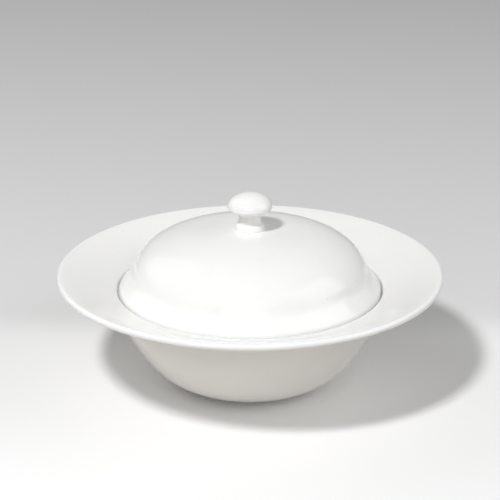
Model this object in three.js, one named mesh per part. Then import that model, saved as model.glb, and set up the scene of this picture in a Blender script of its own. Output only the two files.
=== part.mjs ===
// Soup bowl with a lid, in white glazed porcelain.
// Millimetres, +Z up, origin on the table at the axis of the bowl.
// A wide dished rim surrounds a deep round well. A step between the two is the seat of the lid,
// a hollow dome with a flared flange. The knob is a piece of its own, stuck to the crown before firing.
import * as THREE from 'three';

// Rim of the bowl. Slopes are in degrees. A pull is the length over which a curve leaves a slope.
const RIM_DIAMETER = 230;
const BOWL_HEIGHT = 69.4; // table to the top of the lip
const LIP_THICKNESS = 3.8; // fully rounded edge
const LIP_TOP_SLOPE = 13;
const LIP_TOP_PULL = 6;
const LIP_UNDER_SLOPE = 24;
const LIP_UNDER_PULL = 8;
const RIM_THICKNESS = 4.8; // beside the step
const RIM_SLOPE = 15; // beside the step
const RIM_PULL = 10;

// Seat of the lid
const SEAT_DEPTH = 14; // top of the lip down to the shelf
const STEP_HEIGHT = 2.7; // shelf up to the rim
const STEP_EDGE_RADIUS = 1.2;
const STEP_EDGE_LEAD = 3; // straight stretch of the rim beside the step
const STEP_ROOT_RADIUS = 1.6;
const SHELF_WIDTH = 6.6;
const SHELF_EDGE_RADIUS = 1.2;
const SHELF_EDGE_LEAD = 4; // straight stretch of the well below the shelf

// Outside of the well
const SHOULDER_WALL = 4.4; // beside the step, under the rim
const SHOULDER_SLOPE = 68;
const SHOULDER_RADIUS = 7;
const SHOULDER_LEAD = 5; // straight stretches beside the rounded corner under the rim
const SHOULDER_PULL = 25;
const HEEL_SLOPE = 6;
const HEEL_RADIUS = 0.9;
const HEEL_LEAD = 3; // straight stretch beside the foot ring
const HEEL_PULL = 15;

// Inside of the well
const BASE_THICKNESS = 5.4;
const FLOOR_DIAMETER = 52; // flat middle
const FLOOR_PULL = 31;
const WELL_SLOPE = 84; // below the shelf
const WELL_PULL = 28;

// Foot ring
const FOOT_DIAMETER = 80;
const FOOT_WIDTH = 4.6;
const FOOT_HEIGHT = 2.2; // on the outside
const FOOT_RECESS = 3; // on the inside
const FOOT_EDGE_RADIUS = 0.8;
const FOOT_ROOT_RADIUS = 1.6;

// Lid
const LID_DIAMETER = 156.8;
const LID_CLEARANCE = 1.1; // play between flange and step, all round
const LID_HEIGHT = 38.5; // bearing face to crown
const LID_WALL = 4.2;
const DOME_DIAMETER = 140.1;
const CROWN_FULLNESS = 0.68; // roundness of the dome, as a share of its half width
const SIDE_FULLNESS = 0.66; // and of its height
const FLANGE_THICKNESS = 2.5; // fully rounded edge
const FLANGE_SLOPE = 27;
const FLANGE_ROOT_RADIUS = 4; // in the crease between flange and dome
const THROAT_RADIUS = 5; // inside, between bearing face and dome

// Knob
const NECK_DIAMETER = 13.4;
const NECK_HEIGHT = 5.4;
const NECK_ROOT_RADIUS = 1.4; // under the cap
const CAP_OVERHANG = 6.55; // beyond the neck
const CAP_RISE = 8.2; // from its widest part up
const CAP_DROP = 4.6; // from its widest part down
const COLLAR_PROJECTION = 2.2; // foot of the knob, beyond the neck
const COLLAR_HEIGHT = 4.4;
const COLLAR_EDGE = 0.8; // upright edge that meets the crown
const CROWN_MARGIN = 0.6; // flat of the crown round the collar

// Facets
const TURN_STEPS = 56;
const KNOB_STEPS = 32;
const CURVE_STEPS = 9;
const RIM_STEPS = 5;
const FILLET_STEPS = 2;
const EDGE_STEPS = 7;
const CAP_STEPS = 6;

// Directions along an outline, in degrees
const UP = 90;
const INWARD = 180;
const DOWN = -90;

const at = (radius, height) => new THREE.Vector2(radius, height);

function along(start, degrees, length) {
  const angle = THREE.MathUtils.degToRad(degrees);
  return at(start.x + length * Math.cos(angle), start.y + length * Math.sin(angle));
}

// An elliptical stretch round a centre, between two angles in degrees.
function arc(centre, halfWidth, halfHeight, from, to, steps) {
  const start = THREE.MathUtils.degToRad(from);
  const end = THREE.MathUtils.degToRad(to);
  return new THREE.EllipseCurve(centre.x, centre.y, halfWidth, halfHeight, start, end).getPoints(steps);
}

// A rounded corner between two straight stretches.
function fillet(before, corner, after, radius) {
  const back = before.clone().sub(corner).normalize();
  const onward = after.clone().sub(corner).normalize();
  const half = Math.acos(back.dot(onward)) / 2;
  const reach = radius / Math.tan(half);
  const centre = back.clone().add(onward).setLength(radius / Math.sin(half)).add(corner);
  const start = corner.clone().addScaledVector(back, reach).sub(centre).angle();
  const end = corner.clone().addScaledVector(onward, reach).sub(centre).angle();
  const clockwise = back.cross(onward) > 0;
  const round = new THREE.EllipseCurve(centre.x, centre.y, radius, radius, start, end, clockwise);
  return round.getPoints(FILLET_STEPS);
}

// A smooth curve that leaves one point at a slope and reaches another at a slope.
function sweep(start, startSlope, startPull, end, endSlope, endPull) {
  return new THREE.CubicBezierCurve(
    start, along(start, startSlope, startPull), along(end, endSlope, -endPull), end);
}

// The inner face of a wall: its outer curve moved to the left by the wall's thickness.
function innerFace(curve, wall) {
  return curve.getPoints(CURVE_STEPS).map((point, i) => {
    const direction = curve.getTangent(i / CURVE_STEPS);
    return at(point.x - direction.y * wall, point.y + direction.x * wall);
  });
}

// A solid of revolution about Z. Its outline runs from the axis, out and up round the piece,
// and back to the axis.
function turned(name, outline, steps) {
  const geometry = new THREE.LatheGeometry(outline, steps).rotateX(Math.PI / 2);
  const porcelain = new THREE.MeshStandardMaterial({ color: 0xf3f2ee, roughness: 0.12, metalness: 0 });
  const mesh = new THREE.Mesh(geometry, porcelain);
  mesh.name = name;
  return mesh;
}

const lidRadius = LID_DIAMETER / 2;
const stepRadius = lidRadius + LID_CLEARANCE;
const shelfHeight = BOWL_HEIGHT - SEAT_DEPTH;
const neckRadius = NECK_DIAMETER / 2;
const collarRadius = neckRadius + COLLAR_PROJECTION;

function bowlOutline() {
  const footOuter = FOOT_DIAMETER / 2;
  const footInner = footOuter - FOOT_WIDTH;
  const recessCentre = at(0, FOOT_RECESS);
  const recessEdge = at(footInner, FOOT_RECESS);
  const groundInner = at(footInner, 0);
  const groundOuter = at(footOuter, 0);
  const heelCorner = at(footOuter, FOOT_HEIGHT);
  const heel = along(heelCorner, HEEL_SLOPE, HEEL_LEAD);

  const stepEdge = at(stepRadius, shelfHeight + STEP_HEIGHT);
  const stepRoot = at(stepRadius, shelfHeight);
  const rimTop = along(stepEdge, RIM_SLOPE, STEP_EDGE_LEAD);
  const shoulderCorner = along(stepEdge, RIM_SLOPE, SHOULDER_WALL).sub(at(0, RIM_THICKNESS));
  const shoulder = along(shoulderCorner, SHOULDER_SLOPE, -SHOULDER_LEAD);
  const rimUnder = along(shoulderCorner, RIM_SLOPE, SHOULDER_LEAD);
  const outside = sweep(heel, HEEL_SLOPE, HEEL_PULL, shoulder, SHOULDER_SLOPE, SHOULDER_PULL);

  const lipRadius = LIP_THICKNESS / 2;
  const lipCentre = at(RIM_DIAMETER / 2 - lipRadius, BOWL_HEIGHT - lipRadius);
  const lip = arc(lipCentre, lipRadius, lipRadius, DOWN + LIP_UNDER_SLOPE, UP + LIP_TOP_SLOPE, EDGE_STEPS);
  const underside = sweep(rimUnder, RIM_SLOPE, RIM_PULL, lip[0], LIP_UNDER_SLOPE, LIP_UNDER_PULL);
  const dish = sweep(
    lip.at(-1), INWARD + LIP_TOP_SLOPE, LIP_TOP_PULL,
    rimTop, INWARD + RIM_SLOPE, RIM_PULL);

  const shelfEdge = at(stepRadius - SHELF_WIDTH, shelfHeight);
  const wellTop = along(shelfEdge, WELL_SLOPE, -SHELF_EDGE_LEAD);
  const floorHeight = FOOT_RECESS + BASE_THICKNESS;
  const floorEdge = at(FLOOR_DIAMETER / 2, floorHeight);
  const inside = sweep(wellTop, INWARD + WELL_SLOPE, WELL_PULL, floorEdge, INWARD, FLOOR_PULL);

  return [
    recessCentre,
    ...fillet(recessCentre, recessEdge, groundInner, FOOT_ROOT_RADIUS),
    ...fillet(recessEdge, groundInner, groundOuter, FOOT_EDGE_RADIUS),
    ...fillet(groundInner, groundOuter, heelCorner, FOOT_EDGE_RADIUS),
    ...fillet(groundOuter, heelCorner, heel, HEEL_RADIUS),
    ...outside.getPoints(CURVE_STEPS),
    ...fillet(shoulder, shoulderCorner, rimUnder, SHOULDER_RADIUS),
    ...underside.getPoints(RIM_STEPS).slice(0, -1),
    ...lip,
    ...dish.getPoints(RIM_STEPS).slice(1),
    ...fillet(rimTop, stepEdge, stepRoot, STEP_EDGE_RADIUS),
    ...fillet(stepEdge, stepRoot, shelfEdge, STEP_ROOT_RADIUS),
    ...fillet(stepRoot, shelfEdge, wellTop, SHELF_EDGE_RADIUS),
    ...inside.getPoints(CURVE_STEPS),
    at(0, floorHeight),
  ];
}

// The lid stands on its bearing face, at height 0.
function lidOutline() {
  const edgeRadius = FLANGE_THICKNESS / 2;
  const edgeCentre = at(lidRadius - edgeRadius, edgeRadius);
  const edge = arc(edgeCentre, edgeRadius, edgeRadius, DOWN, UP - FLANGE_SLOPE, EDGE_STEPS);
  const flangeTop = edge.at(-1);

  const domeRadius = DOME_DIAMETER / 2;
  const flangeRise = (flangeTop.x - domeRadius) * Math.tan(THREE.MathUtils.degToRad(FLANGE_SLOPE));
  const crease = at(domeRadius, flangeTop.y + flangeRise);
  const aboveCrease = at(domeRadius, LID_HEIGHT);
  const crown = at(collarRadius + CROWN_MARGIN, LID_HEIGHT);
  const dome = sweep(
    crease, UP, SIDE_FULLNESS * (crown.y - crease.y),
    crown, INWARD, CROWN_FULLNESS * (domeRadius - crown.x));

  const throat = at(domeRadius - LID_WALL, 0);
  const inside = innerFace(dome, LID_WALL).reverse();

  return [
    at(0, LID_HEIGHT - LID_WALL),
    ...inside,
    ...fillet(inside.at(-1), throat, edgeCentre.clone().setY(0), THROAT_RADIUS),
    ...edge,
    ...fillet(flangeTop, crease, aboveCrease, FLANGE_ROOT_RADIUS),
    ...dome.getPoints(CURVE_STEPS).slice(1),
    at(0, LID_HEIGHT),
  ];
}

// The knob stands on the flat of the crown, at height 0.
function knobOutline() {
  const capRadius = neckRadius + CAP_OVERHANG;
  const capMiddle = at(0, COLLAR_HEIGHT + NECK_HEIGHT + CAP_DROP);
  const collarCentre = at(neckRadius, COLLAR_EDGE);
  const collarRise = COLLAR_HEIGHT - COLLAR_EDGE;
  const underAngle = (radius) => -THREE.MathUtils.radToDeg(Math.acos(radius / capRadius));
  const under = arc(capMiddle, capRadius, CAP_DROP, underAngle(neckRadius), 0, CAP_STEPS);
  return [
    at(0, 0),
    at(collarRadius, 0),
    ...arc(collarCentre, COLLAR_PROJECTION, collarRise, 0, UP, CAP_STEPS),
    ...fillet(collarCentre, under[0], under[1], NECK_ROOT_RADIUS),
    ...under.slice(1),
    ...arc(capMiddle, capRadius, CAP_RISE, 0, UP, CAP_STEPS).slice(1),
  ];
}

const lid = new THREE.Group();
lid.position.z = shelfHeight;
const knob = turned('lid_knob', knobOutline(), KNOB_STEPS);
knob.position.z = LID_HEIGHT;
lid.add(turned('lid_dome', lidOutline(), TURN_STEPS), knob);

const soupBowl = new THREE.Group();
soupBowl.add(turned('bowl', bowlOutline(), TURN_STEPS), lid);

export default soupBowl;
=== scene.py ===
import math

import bmesh
import bpy
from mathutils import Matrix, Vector


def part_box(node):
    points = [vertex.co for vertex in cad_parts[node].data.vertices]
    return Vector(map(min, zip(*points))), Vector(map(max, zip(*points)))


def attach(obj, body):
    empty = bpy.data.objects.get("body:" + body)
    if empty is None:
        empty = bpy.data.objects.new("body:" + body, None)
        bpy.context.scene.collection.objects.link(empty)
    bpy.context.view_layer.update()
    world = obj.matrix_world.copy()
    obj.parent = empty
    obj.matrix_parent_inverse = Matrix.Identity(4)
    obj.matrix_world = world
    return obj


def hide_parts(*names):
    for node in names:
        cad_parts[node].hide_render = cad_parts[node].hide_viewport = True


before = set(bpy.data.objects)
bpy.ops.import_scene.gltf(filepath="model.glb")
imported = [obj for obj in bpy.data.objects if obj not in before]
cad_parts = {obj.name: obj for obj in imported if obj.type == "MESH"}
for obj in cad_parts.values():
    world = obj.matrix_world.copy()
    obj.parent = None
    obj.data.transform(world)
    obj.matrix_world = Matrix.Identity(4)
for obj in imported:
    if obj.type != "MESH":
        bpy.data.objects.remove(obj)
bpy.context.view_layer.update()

MM = 0.001
TINY = 1e-6

# Fineness of the turned surfaces
BOWL_STEPS = 224
KNOB_STEPS = 112
FLARE_STEPS = 8
HOLLOW_STEPS = 6
FILLET_STEPS = 8
LONGEST_STEP = 2.5 * MM
LARGEST_TURN = math.radians(4)

# Glaze and bare clay
POOL_WIDTH = 1.2 * MM  # glaze evens out over this much of a corner
POOL_RADIUS = 2.5 * MM  # corners this tight hold a full pool of glaze
BARE_RISE = 0.2 * MM  # no glaze within this height of the table or the seat
KNOB_FILLET = 0.7 * MM  # slip and glaze in the corner between knob and crown
KNOB_SINK = 0.05 * MM  # the knob's foot reaches into the crown, so that no slit shows
KNOB_JOIN = 0.1 * MM  # least height from the fillet to the next point of the knob
RIM_WARP = 0.25 * MM  # a fired rim is never quite level
RIM_WARP_TURN = 0.7  # radians, so that no high side is right in front

# Forms of the lid that the CAD has plainer
FLARE_HEIGHT = 10.8 * MM  # the flange swells into a full flare, from its widest line up to the crease
FLARE_WIDTH = 7.8 * MM
FLARE_SLOPE = math.radians(48)
WALL_SLOPE = math.radians(72)  # foot of the dome
FLARE_HOLLOW = 10 * MM  # radius in the crease between flare and dome
DOME_SWELL = 0.9 * MM  # the dome is this much fuller at its foot
SWELL_DEPTH = 20 * MM  # and by less towards the crown


def linear(colour):
    """An sRGB hex colour as linear red, green, blue and alpha."""
    values = [int(colour[i:i + 2], 16) / 255 for i in (1, 3, 5)]
    return [v / 12.92 if v <= 0.04045 else ((v + 0.055) / 1.055) ** 2.4 for v in values] + [1]


def add(tree, kind, sockets=(), **settings):
    """A new node with its settings, its socket values and the links into its sockets."""
    new = tree.nodes.new(kind)
    for name, value in settings.items():
        setattr(new, name, value)
    for name, value in dict(sockets).items():
        if isinstance(value, bpy.types.NodeSocket):
            tree.links.new(value, new.inputs[name])
        else:
            new.inputs[name].default_value = value
    return new


def blend(tree, share, first, second):
    """A colour between two, nearer to the second the larger the share."""
    return add(tree, "ShaderNodeMix", {0: share, 6: first, 7: second}, data_type="RGBA").outputs[2]


def spread(tree, value, sockets, **settings):
    """A value carried over from one range to another. A range that isn't given is 0 to 1."""
    return add(tree, "ShaderNodeMapRange", {"Value": value, **sockets}, **settings).outputs[0]


def object_place(tree):
    return add(tree, "ShaderNodeTexCoord").outputs["Object"]


def noise(tree, place, size, detail):
    """Soft spots of about this size, as a value from 0 to 1."""
    return add(tree, "ShaderNodeTexNoise", {"Vector": place, "Scale": 1 / size, "Detail": detail}).outputs["Fac"]


def empty_material(name):
    material = bpy.data.materials.new(name)
    material.use_nodes = True
    material.node_tree.nodes.clear()
    return material


# Outlines


def cad_outline(node):
    """The half outline of a turned CAD node, as radius and height, from the axis round the piece to the axis."""
    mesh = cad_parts[node].data
    places = [(round(-v.co.y, 6), round(v.co.z, 6)) for v in mesh.vertices]
    on_seam = [abs(v.co.x) < TINY and v.co.y < TINY for v in mesh.vertices]
    beside = {}
    for edge in mesh.edges:
        a, b = edge.vertices
        if on_seam[a] and on_seam[b] and places[a] != places[b]:
            beside.setdefault(places[a], set()).add(places[b])
            beside.setdefault(places[b], set()).add(places[a])
    place = min((p for p in beside if p[0] < TINY), key=lambda p: p[1])
    outline = []
    while place:
        outline.append(Vector(place))
        onward = [p for p in beside[place] if Vector(p) not in outline]
        place = onward[0] if onward else None
    return outline


def fine_outline(outline):
    """A smooth outline through the given points, and nowhere below them.

    At each point it follows mostly the longer of the two stretches beside it, so flats stay flat and rounds round.
    """
    stretches = [b - a for a, b in zip(outline, outline[1:])]
    ways = [Vector((1, 0))]
    ways += [(a * a.length + b * b.length).normalized() for a, b in zip(stretches, stretches[1:])]
    ways.append(Vector((-1, 0)))
    fine = []
    for start, stretch, leave, reach in zip(outline, stretches, ways, ways[1:]):
        length = stretch.length
        turn = leave.angle(stretch) + stretch.angle(reach)
        steps = max(math.ceil(turn / LARGEST_TURN), math.ceil(length / LONGEST_STEP))
        for i in range(steps):
            t = i / steps
            bend = (t - 2 * t * t + t ** 3) * leave + (t ** 3 - t * t) * reach
            fine.append(start + stretch * (3 * t * t - 2 * t ** 3) + bend * length)
    fine.append(outline[-1])
    lowest = min(point.y for point in outline)
    return [Vector((point.x, max(point.y, lowest))) for point in fine]


def glaze_pools(outline):
    """How the glaze gathers at each point: 1 in a tight hollow corner, -1 on a tight edge where it runs thin."""
    lengths = [0.0]
    for a, b in zip(outline, outline[1:]):
        lengths.append(lengths[-1] + (b - a).length)
    turns = [0.0]
    for a, b, c in zip(outline, outline[1:], outline[2:]):
        turns.append((b - a).angle_signed(c - b))
    turns.append(0.0)
    pools = []
    for here in lengths:
        bend = 0.0
        for there, turn in zip(lengths, turns):
            bend += turn * math.exp(-((there - here) / POOL_WIDTH) ** 2)
        bend /= POOL_WIDTH * math.sqrt(math.pi)
        pools.append(max(-1.0, min(1.0, bend * POOL_RADIUS)))
    return pools


def placed(name, form, materials):
    """The finished form as an object of the scene."""
    mesh = bpy.data.meshes.new(name)
    form.to_mesh(mesh)
    form.free()
    for material in materials:
        mesh.materials.append(material)
    piece = bpy.data.objects.new(name, mesh)
    bpy.context.scene.collection.objects.link(piece)
    return piece


def turned(name, outline, steps, materials, bare=lambda a, b: False, warp=lambda radius, angle: 0.0):
    """A closed surface of revolution. Stretches of the outline that are bare get the second material."""
    form = bmesh.new()
    pool = form.verts.layers.float.new("glaze_pool")
    rings = []
    for point, gathered in zip(outline, glaze_pools(outline)):
        radius, height = point
        ring = []
        for i in range(steps if radius > TINY else 1):
            angle = 2 * math.pi * i / steps
            lift = warp(radius, angle)
            vert = form.verts.new((radius * math.sin(angle), -radius * math.cos(angle), height + lift))
            vert[pool] = gathered
            ring.append(vert)
        rings.append(ring)
    for lower, upper, a, b in zip(rings, rings[1:], outline, outline[1:]):
        for i in range(steps):
            j = (i + 1) % steps
            corners = [lower[i % len(lower)], lower[j % len(lower)], upper[j % len(upper)], upper[i % len(upper)]]
            face = form.faces.new(list(dict.fromkeys(corners)))
            face.smooth = True
            face.material_index = 1 if bare(a, b) else 0
    bmesh.ops.recalc_face_normals(form, faces=form.faces)
    return placed(name, form, materials)


# Materials

CLOUD_SIZE = 40 * MM  # drifts of colour and gloss in the glaze
RIPPLE_SIZE = 30 * MM
RIPPLE_HEIGHT = 0.012 * MM
SPECK_SPACING = 12 * MM
SPECK_RADIUS = 0.03  # as a share of the spacing
SPECK_CORE = 0.015
LIGHT_REACH = 3 * MM  # how far light wanders through thin porcelain
GLOW_START = 20 * MM  # from the axis: the joint below the knob is too thick for that
GLOW_END = 45 * MM
GRIT_SIZE = 0.5 * MM  # real grit is about 0.1 mm, and is drawn coarser so that it shows
GRIT_HEIGHT = 0.08 * MM
WEAR_SIZE = 9 * MM


def glazed_porcelain():
    """White hard porcelain under a clear, fired glaze.

    The eye sees a bright, faintly warm white with a sharp wet gloss. The glaze lies thick and creamy in hollow
    corners and thin on edges, where a cool tint is partly thin glaze and partly a painted highlight, the bluish
    white that the lip shows; it ripples a little, and holds a few tiny dark specks.
    """
    material = empty_material("glazed_porcelain")
    tree = material.node_tree
    place = object_place(tree)

    clouds = noise(tree, place, CLOUD_SIZE, 3.0)
    body = blend(tree, clouds, linear("#F1F1EF"), linear("#F5F5F3"))
    gathered = add(tree, "ShaderNodeAttribute", attribute_name="glaze_pool").outputs["Fac"]
    pooled = spread(tree, gathered, {"From Min": 0.7, "From Max": 1.0})
    # On tight edges and the lip the colour turns cool: partly thin glaze, partly a painted highlight (the
    # bluish-white sheen of the lip).
    thin_glaze_and_painted_highlight = spread(tree, gathered, {"From Min": -0.3, "From Max": -1.0})
    deep = blend(tree, pooled, body, linear("#F8F6F0"))
    thin = blend(tree, thin_glaze_and_painted_highlight, deep, linear("#F3F5F6"))

    # Iron specks of about 0.5 mm. Those that reach the surface show.
    grains = add(tree, "ShaderNodeTexVoronoi", {"Vector": place, "Scale": 1 / SPECK_SPACING}).outputs["Distance"]
    speck = spread(tree, grains, {"From Min": SPECK_RADIUS, "From Max": SPECK_CORE})
    colour = blend(tree, speck, thin, linear("#B8AD9A"))

    flow = noise(tree, place, RIPPLE_SIZE, 1.0)
    ripple = add(tree, "ShaderNodeBump", {"Height": flow, "Distance": RIPPLE_HEIGHT, "Strength": 1.0})
    gloss = spread(tree, clouds, {"To Min": 0.07, "To Max": 0.13})

    level = add(tree, "ShaderNodeVectorMath", {0: place, 1: (1, 1, 0)}, operation="MULTIPLY").outputs[0]
    away = add(tree, "ShaderNodeVectorMath", {0: level}, operation="LENGTH").outputs["Value"]
    glow = spread(tree, away, {"From Min": GLOW_START, "From Max": GLOW_END})

    surface = add(tree, "ShaderNodeBsdfPrincipled", {
        "Base Color": colour, "Roughness": gloss, "Normal": ripple.outputs[0], "IOR": 1.5,
        "Subsurface Weight": glow, "Subsurface Radius": (1.0, 0.95, 0.9), "Subsurface Scale": LIGHT_REACH})
    add(tree, "ShaderNodeOutputMaterial", {"Surface": surface.outputs[0]})
    return material


def bare_biscuit():
    """Fired clay without glaze, where the bowl stands and where the lid bears.

    The eye sees a dull, chalky off-white with a fine grain, a little grey from use.
    """
    material = empty_material("bare_biscuit")
    tree = material.node_tree
    place = object_place(tree)
    grit = noise(tree, place, GRIT_SIZE, 4.0)
    wear = noise(tree, place, WEAR_SIZE, 2.0)
    clay = blend(tree, grit, linear("#DCD5C8"), linear("#EFEAE0"))
    soil = spread(tree, wear, {"From Min": 0.5, "From Max": 0.75, "To Max": 0.5})
    colour = blend(tree, soil, clay, linear("#BDB6AA"))
    tooth = add(tree, "ShaderNodeBump", {"Height": grit, "Distance": GRIT_HEIGHT, "Strength": 1.0})
    surface = add(tree, "ShaderNodeBsdfPrincipled", {
        "Base Color": colour, "Roughness": 0.85, "Normal": tooth.outputs[0], "IOR": 1.5})
    add(tree, "ShaderNodeOutputMaterial", {"Surface": surface.outputs[0]})
    return material


porcelain = glazed_porcelain()
biscuit = bare_biscuit()


# Bowl

lip_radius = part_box("bowl")[1].x
shelf_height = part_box("lid_dome")[0].z
lid_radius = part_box("lid_dome")[1].x


def rim_lift(radius, angle):
    """The rim rises a little at two sides and sinks at the other two, more towards the lip."""
    share = max(0.0, (radius - lid_radius) / (lip_radius - lid_radius))
    return RIM_WARP * share ** 2 * math.cos(2 * angle + RIM_WARP_TURN)


def stands_on_table(a, b):
    return max(a.y, b.y) < BARE_RISE


bowl = turned("bowl_glazed", fine_outline(cad_outline("bowl")), BOWL_STEPS, [porcelain, biscuit],
              bare=stands_on_table, warp=rim_lift)
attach(bowl, "bowl")
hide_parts("bowl")


# Lid


def bears_on_seat(a, b):
    return max(a.y, b.y) < shelf_height + BARE_RISE


def facing(slope):
    """The way a surface of this slope faces, as radius and height."""
    return Vector((math.sin(slope), math.cos(slope)))


def dome_outline():
    """The CAD outline with the flange swelling into a full flare and the dome a little fuller at its foot."""
    outline = cad_outline("lid_dome")
    crown = outline[-1].y
    widest = max(range(len(outline)), key=lambda i: outline[i].x)
    edge = outline[widest]

    # The flare starts upright in a round, and runs on straight to the crease.
    upright = math.pi / 2
    left = FLARE_HEIGHT - FLARE_WIDTH * math.tan(FLARE_SLOPE)
    radius = left * math.cos(FLARE_SLOPE) / (1 - math.sin(FLARE_SLOPE))
    flare = []
    for i in range(FLARE_STEPS + 1):
        slope = upright + (FLARE_SLOPE - upright) * i / FLARE_STEPS
        flare.append(edge + radius * (facing(slope) - facing(upright)))

    crease = edge + Vector((-FLARE_WIDTH, FLARE_HEIGHT))
    reach = FLARE_HOLLOW * math.tan((WALL_SLOPE - FLARE_SLOPE) / 2)
    start = crease + reach * Vector((math.cos(FLARE_SLOPE), -math.sin(FLARE_SLOPE)))
    centre = start + FLARE_HOLLOW * facing(FLARE_SLOPE)
    hollow = []
    for i in range(HOLLOW_STEPS + 1):
        slope = FLARE_SLOPE + (WALL_SLOPE - FLARE_SLOPE) * i / HOLLOW_STEPS
        hollow.append(centre - FLARE_HOLLOW * facing(slope))

    wall = []
    for point in outline[widest:-1]:
        if point.y > hollow[-1].y:
            wall.append(point + Vector((DOME_SWELL * min(1, (crown - point.y) / SWELL_DEPTH), 0)))
    return outline[:widest] + flare + hollow + wall + [outline[-1]]


dome = turned("lid_dome_glazed", fine_outline(dome_outline()), BOWL_STEPS, [porcelain, biscuit], bare=bears_on_seat)
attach(dome, "lid")
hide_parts("lid_dome")


def knob_outline():
    """The CAD outline from its upright collar edge up, with a fillet of glaze down to the crown."""
    _, corner, *rest = cad_outline("lid_knob")
    crown = corner.y
    fillet = []
    for i in range(FILLET_STEPS + 1):
        angle = math.pi / 2 * i / FILLET_STEPS
        out = KNOB_FILLET * (1 - math.sin(angle))
        up = KNOB_FILLET * (1 - math.cos(angle))
        fillet.append(Vector((corner.x + out, crown - KNOB_SINK + up)))
    above = [p for p in fine_outline(rest) if p.y > fillet[-1].y + KNOB_JOIN]
    return [Vector((0, crown - KNOB_SINK))] + fillet + above


knob = turned("lid_knob_glazed", knob_outline(), KNOB_STEPS, [porcelain])
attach(knob, "lid")
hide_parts("lid_knob")


# Table

TABLE_HALF = 3.0
TABLE_TOP = -0.02 * MM  # a hair below the foot, so that the two faces don't meet
TONE_START = 45 * MM  # the table turns from its pale front to the grey of the back between these
TONE_END = 105 * MM
BOUNCE_START = 70 * MM  # what the table throws back on the bowl: most of it from close to the foot
BOUNCE_END = 140 * MM


def table_material():
    """Matt pale board. The camera sees it white in front and pale grey behind, so that the rim stands out."""
    material = empty_material("pale_table")
    tree = material.node_tree
    place = object_place(tree)
    depth = add(tree, "ShaderNodeSeparateXYZ", {"Vector": place}).outputs["Y"]
    back = spread(tree, depth, {"From Min": TONE_START, "From Max": TONE_END}, interpolation_type="SMOOTHSTEP")
    tone = blend(tree, back, linear("#FAFAFA"), linear("#E6E6E6"))
    away = add(tree, "ShaderNodeVectorMath", {0: place}, operation="LENGTH").outputs["Value"]
    far = spread(tree, away, {"From Min": BOUNCE_START, "From Max": BOUNCE_END})
    bounce = blend(tree, far, linear("#FFFCF8"), linear("#B4AFA8"))
    path = add(tree, "ShaderNodeLightPath").outputs
    seen = add(tree, "ShaderNodeMath", {0: path["Is Camera Ray"], 1: path["Is Glossy Ray"]}, operation="MAXIMUM")
    surface = add(tree, "ShaderNodeBsdfDiffuse", {"Color": blend(tree, seen.outputs[0], bounce, tone)})
    add(tree, "ShaderNodeOutputMaterial", {"Surface": surface.outputs[0]})
    return material


board = bmesh.new()
quarters = ((-1, -1), (1, -1), (1, 1), (-1, 1))
board.faces.new([board.verts.new((x * TABLE_HALF, y * TABLE_HALF, TABLE_TOP)) for x, y in quarters])
table = placed("table", board, [table_material()])


# Light

ROOM_LIGHT = 0.23  # what the room adds on the object from all round
ROOM_MIRRORED = 0.55  # the room as the glaze mirrors it


def softbox(name, azimuth, elevation, distance, size, level):
    """A square lamp aimed at the lid. A white surface that faces it is lit to the given level."""
    across = math.cos(math.radians(elevation)) * distance
    lamp = bpy.data.lights.new(name, "AREA")
    lamp.size = size
    lamp.energy = level * (math.pi * distance) ** 2
    body = bpy.data.objects.new(name, lamp)
    body.location = (across * math.sin(math.radians(azimuth)), -across * math.cos(math.radians(azimuth)),
                     shelf_height + distance * math.sin(math.radians(elevation)))
    aim = Vector((0, 0, shelf_height)) - body.location
    body.rotation_euler = aim.to_track_quat("-Z", "Y").to_euler()
    bpy.context.scene.collection.objects.link(body)


softbox("key_left", azimuth=-32, elevation=53, distance=1.6, size=0.20, level=0.63)
softbox("fill_front", azimuth=-5, elevation=22, distance=2.0, size=1.4, level=0.15)
softbox("fill_right", azimuth=80, elevation=30, distance=2.0, size=1.6, level=0.28)
softbox("fill_left", azimuth=-120, elevation=35, distance=2.0, size=1.6, level=0.13)

world = bpy.data.worlds.new("pale_room")
world.use_nodes = True
sky = world.node_tree
sky.nodes.clear()
mirrored = add(sky, "ShaderNodeLightPath").outputs["Is Glossy Ray"]
brightness = spread(sky, mirrored, {"To Min": ROOM_LIGHT, "To Max": ROOM_MIRRORED})
room = add(sky, "ShaderNodeBackground", {"Color": linear("#FFFFFF"), "Strength": brightness})
add(sky, "ShaderNodeOutputWorld", {"Surface": room.outputs[0]})
bpy.context.scene.world = world
bpy.context.scene.view_settings.view_transform = "Standard"


# Camera

VIEW_DISTANCE = 1.0  # from the middle of the lip's circle
VIEW_ELEVATION = 21.434
VIEW_LENS = 120.48  # mm, on a sensor of this width
SENSOR_WIDTH = 36
AIM_HEIGHT = 80.7 * MM
LIP_MIDDLE = 67.5 * MM

camera_data = bpy.data.cameras.new("photo_view")
camera_data.lens = VIEW_LENS
camera_data.sensor_width = SENSOR_WIDTH
camera = bpy.data.objects.new("photo_view", camera_data)
rise = math.radians(VIEW_ELEVATION)
camera.location = (0, -VIEW_DISTANCE * math.cos(rise), LIP_MIDDLE + VIEW_DISTANCE * math.sin(rise))
camera.rotation_euler = (Vector((0, 0, AIM_HEIGHT)) - camera.location).to_track_quat("-Z", "Y").to_euler()
bpy.context.scene.collection.objects.link(camera)
bpy.context.scene.camera = camera
